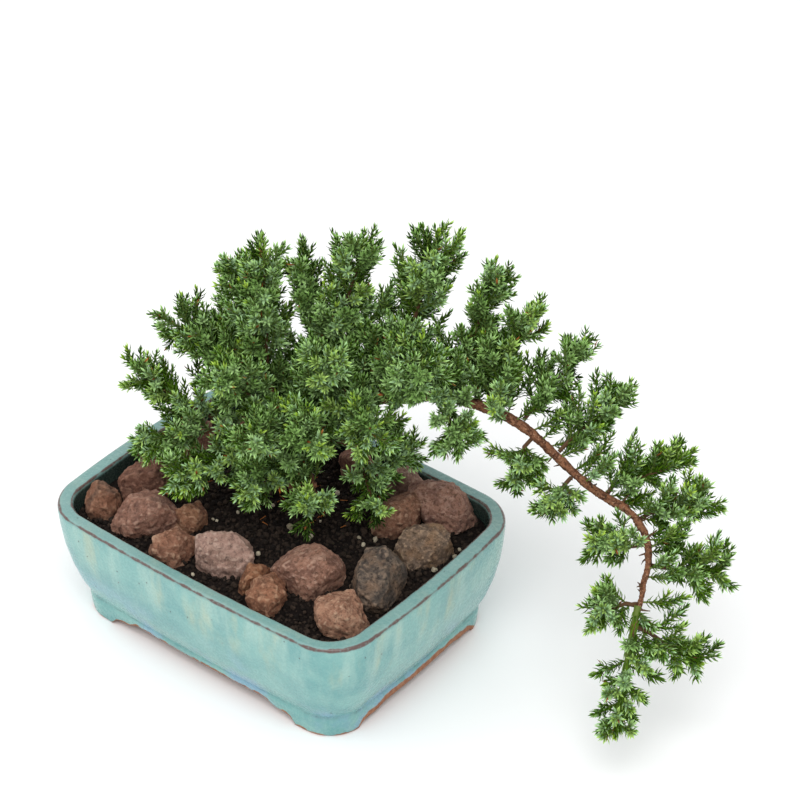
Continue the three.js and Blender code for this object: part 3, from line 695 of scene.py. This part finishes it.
# The main, second and light colour of each rock.
ROCK_LOOKS = [
    ((142, 100, 82), (110, 76, 62), (184, 146, 124)),
    ((128, 88, 72), (98, 68, 56), (166, 126, 106)),
    ((140, 96, 74), (102, 78, 64), (182, 142, 116)),
    ((152, 110, 92), (120, 86, 74), (190, 154, 134)),
    ((152, 108, 82), (112, 74, 56), (190, 152, 122)),
    ((156, 110, 87), (118, 80, 63), (194, 158, 132)),
    ((176, 142, 128), (146, 116, 102), (208, 182, 166)),
    ((148, 100, 72), (108, 70, 52), (186, 146, 114)),
    ((156, 108, 82), (116, 76, 58), (196, 156, 126)),
    ((160, 118, 98), (126, 90, 76), (196, 162, 142)),
    ((178, 133, 108), (140, 98, 78), (212, 178, 150)),
    ((82, 74, 68), (121, 98, 80), (156, 134, 114)),
    ((118, 100, 86), (142, 112, 86), (196, 166, 136)),
    ((148, 106, 84), (114, 80, 64), (188, 152, 126)),
    ((162, 121, 103), (127, 93, 82), (200, 166, 148)),
    ((162, 126, 110), (126, 98, 86), (198, 170, 154)),
]
CHISEL_ROOM = 1.16  # growth that makes up for what the planes take off
CHISEL_PLANES = 13


def chisel(piece, seed):
    """Flattens a stone against random planes, for facets with crisp edges."""
    random = np.random.default_rng(seed)
    spots, _ = spots_and_normals(piece.data)
    middle = (spots.max(0) + spots.min(0)) / 2
    spots = (spots - middle) * CHISEL_ROOM
    for _ in range(CHISEL_PLANES):
        facing = unit(random.normal(0, 1, 3))
        out = spots @ facing
        beyond = np.maximum(out - random.uniform(0.74, 0.92) * out.max(), 0)
        spots -= 0.94 * beyond[:, None] * facing
    piece.data.vertices.foreach_set("co", ((spots + middle) * MM).astype(np.float32).ravel())
    piece.data.update()


def make_rocks():
    for index, node in enumerate(ROCKS):
        rock = remeshed(f"stone_{index + 1:02d}", node, 0.6, 1)
        chisel(rock, 40 + index)
        roughen(rock, [(9, 0.7, False), (6.0, 1.1, True), (2.4, 0.55, False)], index + 1)
        mark_edges(rock, 4, 2.6)
        shades = [colour(*shade) for shade in ROCK_LOOKS[index % len(ROCK_LOOKS)]]
        wear(rock, rock_material(f"stone_{index + 1:02d}", *shades, index + 1))
        slot = next(s["material_slot"] for s in frame["record"]["subparts"] if s["node"] == node)
        place(rock, slot, node)


def make_bark():
    wood = remeshed("trunk", "trunk_and_limbs", 0.55, 2)
    roughen(wood, [(4.5, 0.5, False), (1.3, 0.28, False)], 50)
    mark_edges(wood, 2, 4.0)
    wear(wood, bark_material())
    place(wood, "bark", "trunk_and_limbs")


def finish_screens():
    """The drain screens stay as the CAD has them, in dark plastic."""
    for name in SCREENS:
        wear(frame["nodes"][name], screen_material())


# ---- foliage ----
SHOOT_RADIUS, SHOOT_SIDES, SHOOT_BULGE = 4.2, 4, 0.42
SHORTEST_SHOOT, LONGEST_SHOOT = 7.0, 45.0
WHORL_STEP = 1.2
NEEDLE_LENGTH, NEEDLE_WIDTH, NEEDLE_THICKNESS = 4.8, 1.05, 0.4
WHORL_TURN = math.radians(62)
WHORL_PLACES = np.array([0, 2.094, 4.189])  # three needles, evenly round the stem
NEEDLE_LEAN = ([0, 0.75, 1.0], [0.9, 0.76, 0.2])  # along a shoot: share of its length, radians
NEEDLE_SIZE = ([0, 0.25, 0.8, 1.0], [0.85, 1.0, 0.92, 0.62])
NEXT_KIND, LAST_KIND, DRY_KIND = 0.72, 0.2, 0.994  # where a needle's draw changes its colour
TURN = 6.28  # all the way round
UPWARD = np.array([0.0, 0.0, 1.0])
BARK_POINTS, BARK_TRIANGLES = welded("trunk_and_limbs")
WOOD = BVHTree.FromPolygons([Vector(p) for p in BARK_POINTS], BARK_TRIANGLES.tolist())


def shoots_of(node):
    """(tip, direction, length) of each spindle-shaped shoot in a CAD spray, found by its sharp tip."""
    points, triangles = welded(node)
    normals = unit(triangle_crosses(points, triangles)[1])
    faces_at = {}
    for number, triangle in enumerate(triangles):
        for vertex in triangle:
            faces_at.setdefault(int(vertex), []).append(number)
    flat_radius = SHOOT_RADIUS * math.cos(math.pi / SHOOT_SIDES)
    found = []
    for vertex, faces in sorted(faces_at.items()):
        sides = []
        for normal in normals[faces]:
            if all(normal @ side < 0.9995 for side in sides):
                sides.append(normal)
        if len(sides) != SHOOT_SIDES:
            continue
        sides = np.array(sides)
        axis = np.linalg.lstsq(sides, np.ones(len(sides)), rcond=None)[0]
        size = np.linalg.norm(axis)
        around = points[np.unique(triangles[faces])] - points[vertex]
        is_tip = (around @ sides.T).max() < 0.02 and np.abs(sides @ axis - 1).max() < 0.01 * size
        if not is_tip or size < 1.01:
            continue
        slope = math.tan(math.asin(1 / size))
        length = flat_radius / ((1 - SHOOT_BULGE) * slope)
        if SHORTEST_SHOOT < length < LONGEST_SHOOT:
            found.append((points[vertex], axis / size, length))
    return found


class Needles:
    """Collects needle-bearing shoots and twigs, then makes one mesh of them."""

    def __init__(self, seed):
        self.random = np.random.default_rng(seed)
        self.groups = []
        self.points, self.corners, self.sizes, self.uvs, self.count = [], [], [], [], 0

    def add_shoot(self, start, heading, length, kind, bend=0.0, bare=0.12, fullness=1.0,
                  fresh=False, open_up=1.0, pointed=True):
        """One shoot: whorls of three needles from its bare foot to a rosette at its tip."""
        random = self.random
        whorls = max(3, int(length * (1 - bare) / WHORL_STEP))
        share = bare + (1 - bare) * (np.arange(whorls) + 0.5) / whorls
        rise = np.array([0, 0, bend * length])
        spots = start + heading * length * share[:, None] + rise * (share**2)[:, None]
        along = unit(heading * length + 2 * rise * share[:, None])
        turn = np.arange(whorls) * WHORL_TURN + random.uniform(0, TURN)
        turns = (turn[:, None] + WHORL_PLACES + random.normal(0, 0.16, (whorls, 3))).ravel()
        closing = share if pointed else np.zeros(whorls)
        open_angle = open_up * np.interp(closing, *NEEDLE_LEAN)
        lean = np.repeat(open_angle, 3) + random.normal(0, 0.09, 3 * whorls)
        size = NEEDLE_LENGTH * np.interp(closing, *NEEDLE_SIZE)
        size = np.repeat(size, 3) * random.uniform(0.82, 1.12, 3 * whorls) * fullness
        kinds = np.full(3 * whorls, kind)
        shift = random.random(3 * whorls)
        ordinary = kind < YOUNG
        kinds = np.where(ordinary & (shift > NEXT_KIND), np.minimum(kind + 1, YOUNG - 1), kinds)
        kinds = np.where(ordinary & (shift < LAST_KIND), np.maximum(kind - 1, 0), kinds)
        kinds = np.where(shift > DRY_KIND, DRY, kinds)
        if fresh:
            kinds[-4:] = YOUNG
        self.groups.append((np.repeat(spots, 3, 0), np.repeat(along, 3, 0), turns, lean, size, kinds))
        self.add_twig([start, start + heading * length * 0.5 + rise * 0.25, spots[-1]], 0.5, 0.3, STEM_ROW)

    def add_twig(self, path, thick, thin, row, sides=5):
        """A tapered stem through the points of path."""
        path = np.array(path, float)
        if len(path) < 2:
            return
        ahead = unit(np.gradient(path, axis=0))
        side = unit(np.cross(ahead, [0.31, 0.17, 0.93]))
        other = np.cross(ahead, side)
        radius = np.linspace(thick, thin, len(path))[:, None, None]
        angle = np.arange(sides) / sides * 2 * math.pi
        outward = np.cos(angle)[:, None] * side[:, None] + np.sin(angle)[:, None] * other[:, None]
        ringed = path[:, None] + radius * outward
        quads = band_quads(len(path), sides)
        low, high = (row + 0.3) / ROWS, (row + 0.7) / ROWS
        self.points.append(ringed.reshape(-1, 3))
        self.corners.append((quads + self.count).ravel())
        self.sizes.append(np.full(len(quads), 4))
        self.uvs.append(np.tile([(0.45, low), (0.45, high), (0.6, high), (0.6, low)], (len(quads), 1)))
        self.count += len(path) * sides

    def grow_needles(self):
        """Every needle at once: a keeled blade of three quads and three triangles."""
        spot, along, turn, lean, size, kind = (np.concatenate(part) for part in zip(*self.groups))
        side = unit(np.cross(along, np.array([0.27, 0.11, 0.95])))
        other = np.cross(along, side)
        outward = np.cos(turn)[:, None] * side + np.sin(turn)[:, None] * other
        needle = np.cos(lean)[:, None] * along + np.sin(lean)[:, None] * outward
        face = unit(along - (along * needle).sum(1)[:, None] * needle)
        across = np.cross(needle, face)
        reach = size[:, None]
        middle = spot + 0.52 * reach * needle - 0.07 * reach * face
        tip = spot + reach * needle
        half = 0.5 * NEEDLE_WIDTH
        points = np.stack([
            spot + 0.75 * half * across, spot - 0.75 * half * across, spot - 0.7 * NEEDLE_THICKNESS * face,
            middle + half * across, middle - half * across, middle - NEEDLE_THICKNESS * face, tip,
        ], 1)
        quads = np.array([[0, 3, 4, 1], [0, 2, 5, 3], [1, 4, 5, 2]])
        triangles = np.array([[3, 6, 4], [3, 5, 6], [4, 6, 5]])
        base = 7 * np.arange(len(spot))[:, None, None] + self.count
        along_at = np.array([0.04, 0.04, 0.04, 0.5, 0.5, 0.5, 0.97])
        offset_at = np.array([0.3, -0.3, 0.0, 0.3, -0.3, 0.0, 0.0])
        lower = np.array([0, 1, 1])  # the first face is the top, the other two are the back
        for faces in (quads, triangles):
            row = (kind[:, None] + KINDS * lower[None])[:, :, None] + 0.5 + 0.8 * offset_at[faces][None]
            u = np.broadcast_to(along_at[faces][None], row.shape)
            self.uvs.append(np.stack([u, row / ROWS], -1).reshape(-1, 2))
            self.corners.append((faces[None] + base).ravel())
            self.sizes.append(np.full(len(spot) * 3, faces.shape[1]))
        self.points.append(points.reshape(-1, 3))
        self.count += 7 * len(spot)

    def make(self, name, material):
        if self.groups:
            self.grow_needles()
        corners = np.concatenate(self.corners).astype(np.int32)
        sizes = np.concatenate(self.sizes).astype(np.int32)
        points, uvs = np.concatenate(self.points), np.concatenate(self.uvs)
        return link_mesh(name, points, corners, sizes, material, uvs, smooth=False)


def fork(heading, angle, turn):
    """A direction that leaves heading by angle, at turn about it."""
    side = unit(np.cross(heading, np.array([0.2, 0.1, 0.97])))
    other = np.cross(heading, side)
    outward = math.cos(turn) * side + math.sin(turn) * other
    return unit(math.cos(angle) * heading + math.sin(angle) * outward)


def twig_path(shoots):
    """Points of the spray's own twig: where its shoots start, in order from the bark."""
    feet = np.array([tip - heading * length for tip, heading, length in shoots])
    tips = np.array([tip for tip, _, _ in shoots])
    spread = [WOOD.find_nearest(Vector(foot))[3] for foot in feet]
    first = feet[int(np.argmin(spread))]
    bark = np.array(WOOD.find_nearest(Vector(first))[0])
    far = tips[int(np.argmax(np.linalg.norm(tips - bark, axis=1)))]
    order = np.argsort((feet - bark) @ unit(far - bark))
    path = [bark]
    for foot in feet[order]:
        if np.linalg.norm(foot - path[-1]) > 1.5:
            path.append(foot)
    return np.array(path)


CURVE_UP, CURVE_UP_HANGING = 0.28, 0.08
BRANCH_SPACING = 5.2
FIRST_BRANCH, BRANCHED_SHARE = 0.16, 0.62
BRANCH_TURN = 2.4
BRANCH_AT_TIP, BRANCH_AT_FOOT = 3.2, 8.2  # mm


def dress_shoot(needles, tip, heading, length, kind, fresh, spread):
    """A spire: a shoot that curves up, with shorter side shoots that sweep forward."""
    random = needles.random
    start = tip - heading * length
    reach = length - 0.3 * NEEDLE_LENGTH
    bend = CURVE_UP if heading[2] > -0.2 else CURVE_UP_HANGING
    needles.add_shoot(start, heading, reach, kind, bend=bend, bare=0.06, fresh=fresh)
    branches = int(round(length / BRANCH_SPACING))
    turn = random.uniform(0, TURN)
    for i in range(branches):
        share = FIRST_BRANCH + BRANCHED_SHARE * (i + random.uniform(0.2, 0.8)) / branches
        turn += BRANCH_TURN
        ahead = unit(heading + 2 * bend * share * UPWARD)
        way = fork(ahead, random.uniform(0.42, 0.66), turn)
        size = spread * (BRANCH_AT_TIP + BRANCH_AT_FOOT * (1 - share)) * random.uniform(0.85, 1.2)
        branch_kind = int(np.clip(kind + random.integers(-1, 2), 0, YOUNG - 1))
        tipped = fresh and random.random() < 0.5
        foot = start + heading * reach * share + bend * reach * share**2 * UPWARD
        needles.add_shoot(foot, way, size, branch_kind, bend=0.14, bare=0.12, fresh=tipped)


# Sprays on the hanging part, where the bark shows between them.
SPARSE = ("fall", "tail", "under")
PALE_SPRAY = "spray_left_lowest"
FALL_START = POT_MIDDLE.x / MM + 100  # the limb hangs from here on
SIDEWAYS = np.array([0.55, 0.43, 0.25])  # towards the outer side of the hanging limb
LOWEST_FOOT = 84  # no shoot springs from the trunk below this height


def limb_shoots(count, seed):
    """(foot, direction, length) of shoots that spring straight from the bark."""
    random = np.random.default_rng(seed)
    corner, crossed = triangle_crosses(BARK_POINTS, BARK_TRIANGLES)
    area = np.linalg.norm(crossed, axis=1)
    found = []
    while len(found) < count:
        face = random.choice(len(area), p=area / area.sum())
        shares = random.dirichlet((1, 1, 1))
        foot, normal = shares @ corner[face], crossed[face] / area[face]
        jitter = random.normal(0, 0.3, 3)
        if foot[2] < LOWEST_FOOT and foot[0] < FALL_START or random.random() < 0.25:
            continue
        if foot[0] > FALL_START:
            if normal @ SIDEWAYS < 0.2:
                continue
            heading = unit(0.7 * normal + 1.2 * SIDEWAYS + jitter)
            found.append((foot, heading, random.uniform(14, 24)))
        elif normal[2] > -0.5:
            heading = unit(normal + 0.9 * UPWARD + jitter)
            found.append((foot, heading, random.uniform(17, 30)))
    return found


BARK_SHOOTS, BARK_SHOOT_SEED = 330, 77
FRESH_SHARE, FRESH_BARK_SHARE = 0.13, 0.07


def grow_spray(node, index, shoots, bark_shoots):
    """The needles of one spray: on the CAD's shoots, on the bark near it and along its twig."""
    needles = Needles(600 + index)
    random = needles.random
    path = twig_path(shoots)
    is_tip = node == "spray_tail_tip"
    hanging = node[6:].startswith(SPARSE)
    spread = 0.6 if is_tip else (0.78 if hanging else 1.0)
    darkest = 3 if node == PALE_SPRAY else (2 if hanging else 0)
    if is_tip:
        path = np.vstack([2.2 * path[0] - 1.2 * path[1], path])
        needles.add_twig(path, 1.7, 0.8, STEM_ROW, sides=8)
    else:
        needles.add_twig(path, 1.1, 0.6, TWIG_ROW, sides=6)
    for tip, heading, length in shoots:
        kind = int(random.integers(darkest, YOUNG))
        dress_shoot(needles, tip, heading, length, kind, random.random() < FRESH_SHARE, spread)
    for foot, heading, length in bark_shoots:
        kind = int(random.integers(darkest, 5))
        fresh = random.random() < FRESH_BARK_SHARE
        dress_shoot(needles, foot + heading * length, heading, length, kind, fresh, spread)
    spacing = 5.5 if hanging else 4.4
    leafy = path[int(0.3 * len(path)):]
    for here, ahead in zip(leafy[:-1], leafy[1:]):
        reach = np.linalg.norm(ahead - here)
        kind = int(random.integers(1, 5))
        needles.add_shoot(here, unit(ahead - here), reach, kind, bare=0.0, pointed=False)
    for here, ahead in zip(path[:-1], path[1:]):
        way = unit(ahead - here)
        for _ in range(int(np.linalg.norm(ahead - here) / spacing + random.random())):
            start = here + (ahead - here) * random.random()
            side = fork(way, random.uniform(0.7, 1.1), random.uniform(0, TURN))
            size = random.uniform(9, 16)
            kind = int(random.integers(darkest, 4))
            dress_shoot(needles, start + side * size, side, size, kind, False, spread)
        if is_tip:
            reach = np.linalg.norm(ahead - here)
            needles.add_shoot(here, way, reach, YOUNG - 1, bare=0.0, fullness=1.7, open_up=0.42)
    return needles


def make_foliage():
    material = needle_material()
    all_shoots = [shoots_of(node) for node in SPRAYS]
    middles = np.array([np.mean([tip for tip, _, _ in shoots], axis=0) for shoots in all_shoots])
    nearby = [[] for _ in SPRAYS]
    for shoot in limb_shoots(BARK_SHOOTS, BARK_SHOOT_SEED):
        nearby[int(np.argmin(np.linalg.norm(middles - shoot[0], axis=1)))].append(shoot)
    for index, node in enumerate(SPRAYS):
        needles = grow_spray(node, index, all_shoots[index], nearby[index])
        place(needles.make(f"foliage_{node[6:]}", material), "foliage", node)


STUBS, DEAD_NEEDLES = 34, 36
# From the pot's middle, in mm.
FALLEN_TWIG = [
    (-47, -28, 84), (-39, -28, 83), (-33, -28, 81), (-32, -33, 81), (-35, -38, 82), (-39, -43, 83),
]
FALLEN_FORK = [FALLEN_TWIG[2], (-30, -24, 82), (-28, -19, 82)]


def make_dry_bits():
    """Stubs on the hanging limb, a fallen twig on the rocks and dead needles on the soil."""
    bits = Needles(900)
    random = bits.random
    corner, crossed = triangle_crosses(BARK_POINTS, BARK_TRIANGLES)
    normals = unit(crossed)
    hanging = np.flatnonzero((corner[:, :, 0].min(1) > FALL_START) & (np.abs(normals[:, 2]) < 0.9))
    for face in random.choice(hanging, STUBS, replace=False):
        foot = corner[face].mean(0)
        heading = unit(normals[face] + random.normal(0, 0.35, 3))
        reach = random.uniform(2.5, 6)
        side = random.normal(0, 0.3, 3)
        stub = [foot - heading, foot + heading * reach * 0.5, foot + heading * reach + side]
        bits.add_twig(stub, 0.6, 0.2, TWIG_ROW)
    middle = np.array(POT_MIDDLE) / MM
    bits.add_twig([middle + spot for spot in FALLEN_TWIG], 0.6, 0.3, DRY)
    bits.add_twig([middle + spot for spot in FALLEN_FORK], 0.45, 0.25, DRY)
    for _ in range(DEAD_NEEDLES):
        angle, out = random.uniform(0, TURN), random.uniform(4, 34)
        x, y = out * math.cos(angle), 14 + 0.8 * out * math.sin(angle)
        foot = middle + (x, y, mound(x, y) + 1.2)
        way = unit(random.normal(0, 1, 3) * (1, 1, 0.2))
        bits.add_twig([foot, foot + 2 * way, foot + 4 * way], 0.35, 0.15, DRY + 0.2, sides=4)
    place(bits.make("dry_bits", needle_material()), "bark")


# ---- stage ----
FLOOR_HALF = 5.0  # metres
WORLD_STRENGTH = 0.92


def make_stage():
    mesh = bpy.data.meshes.new("floor")
    corners = [(FLOOR_HALF * x, FLOOR_HALF * y, 0) for x, y in ((-1, -1), (1, -1), (1, 1), (-1, 1))]
    mesh.from_pydata(corners, [], [(0, 1, 2, 3)])
    floor = bpy.data.objects.new("floor", mesh)
    bpy.context.scene.collection.objects.link(floor)
    shader = Shader("pale_floor", Roughness=0.9, Specular_IOR_Level=0.1)
    clouds = shader.span(shader.noise(300), 0.3, 0.7)
    shader.set(Base_Color=shader.mix(clouds, (0.91, 0.914, 0.918, 1), (0.92, 0.923, 0.926, 1)))
    mesh.materials.append(shader.material)


def area_light(name, spot, target, size, power):
    light = bpy.data.lights.new(name, "AREA")
    light.shape = "SQUARE"
    light.size = size
    light.energy = power
    lamp = bpy.data.objects.new(name, light)
    bpy.context.scene.collection.objects.link(lamp)
    lamp.location = spot
    lamp.rotation_euler = (target - spot).to_track_quat("-Z", "Y").to_euler()


def make_lights():
    world = bpy.data.worlds.new("studio")
    world.use_nodes = True
    sky = world.node_tree.nodes["Background"]
    sky.inputs["Color"].default_value = (1, 1, 1, 1)
    sky.inputs["Strength"].default_value = WORLD_STRENGTH
    bpy.context.scene.world = world
    middle = POT_MIDDLE + Vector((0.04, 0.02, 0.09))
    area_light("key", POT_MIDDLE + Vector((0.45, -0.6, 1.3)), middle, 1.0, 10.5)
    area_light("fill", POT_MIDDLE + Vector((-0.9, -0.5, 1.0)), middle, 1.2, 3.0)


# ---- camera ----
CAMERA_TURN, CAMERA_TILT = math.radians(38.1), math.radians(34.85)
CAMERA_DISTANCE = 1.2009
CAMERA_LENS, SENSOR = 99.83, 36.0
CAMERA_TARGET = Vector((-11.0, 112.2, 66.7)) * MM  # from the middle of the pot's foot


def make_camera():
    data = bpy.data.cameras.new("camera")
    data.sensor_width = SENSOR
    data.lens = CAMERA_LENS
    camera = bpy.data.objects.new("camera", data)
    bpy.context.scene.collection.objects.link(camera)
    level = math.cos(CAMERA_TILT)
    back = Vector((math.sin(CAMERA_TURN) * level, -math.cos(CAMERA_TURN) * level, math.sin(CAMERA_TILT)))
    camera.location = POT_MIDDLE + CAMERA_TARGET + back * CAMERA_DISTANCE
    camera.rotation_euler = (-back).to_track_quat("-Z", "Y").to_euler()
    bpy.context.scene.camera = camera


# ---- everything ----
make_camera()
make_stage()
make_lights()
make_pot()
make_soil()
crumbs = crumb_material("soil_crumbs", colour(12, 9, 8), colour(60, 49, 41))
perlite = crumb_material("perlite", colour(104, 94, 76), colour(196, 186, 164))
make_grains("soil_crumbs", "soil", crumbs, 6500, (0.8, 2.8), 11, (0.0, 1.0))
make_grains("perlite_grains", "soil", perlite, 90, (1.0, 2.8), 12, (0.25, 1.0), detail=2, lift=0.45)
make_rocks()
make_bark()
make_foliage()
make_dry_bits()
finish_screens()
bpy.context.scene.view_settings.view_transform = "Standard"
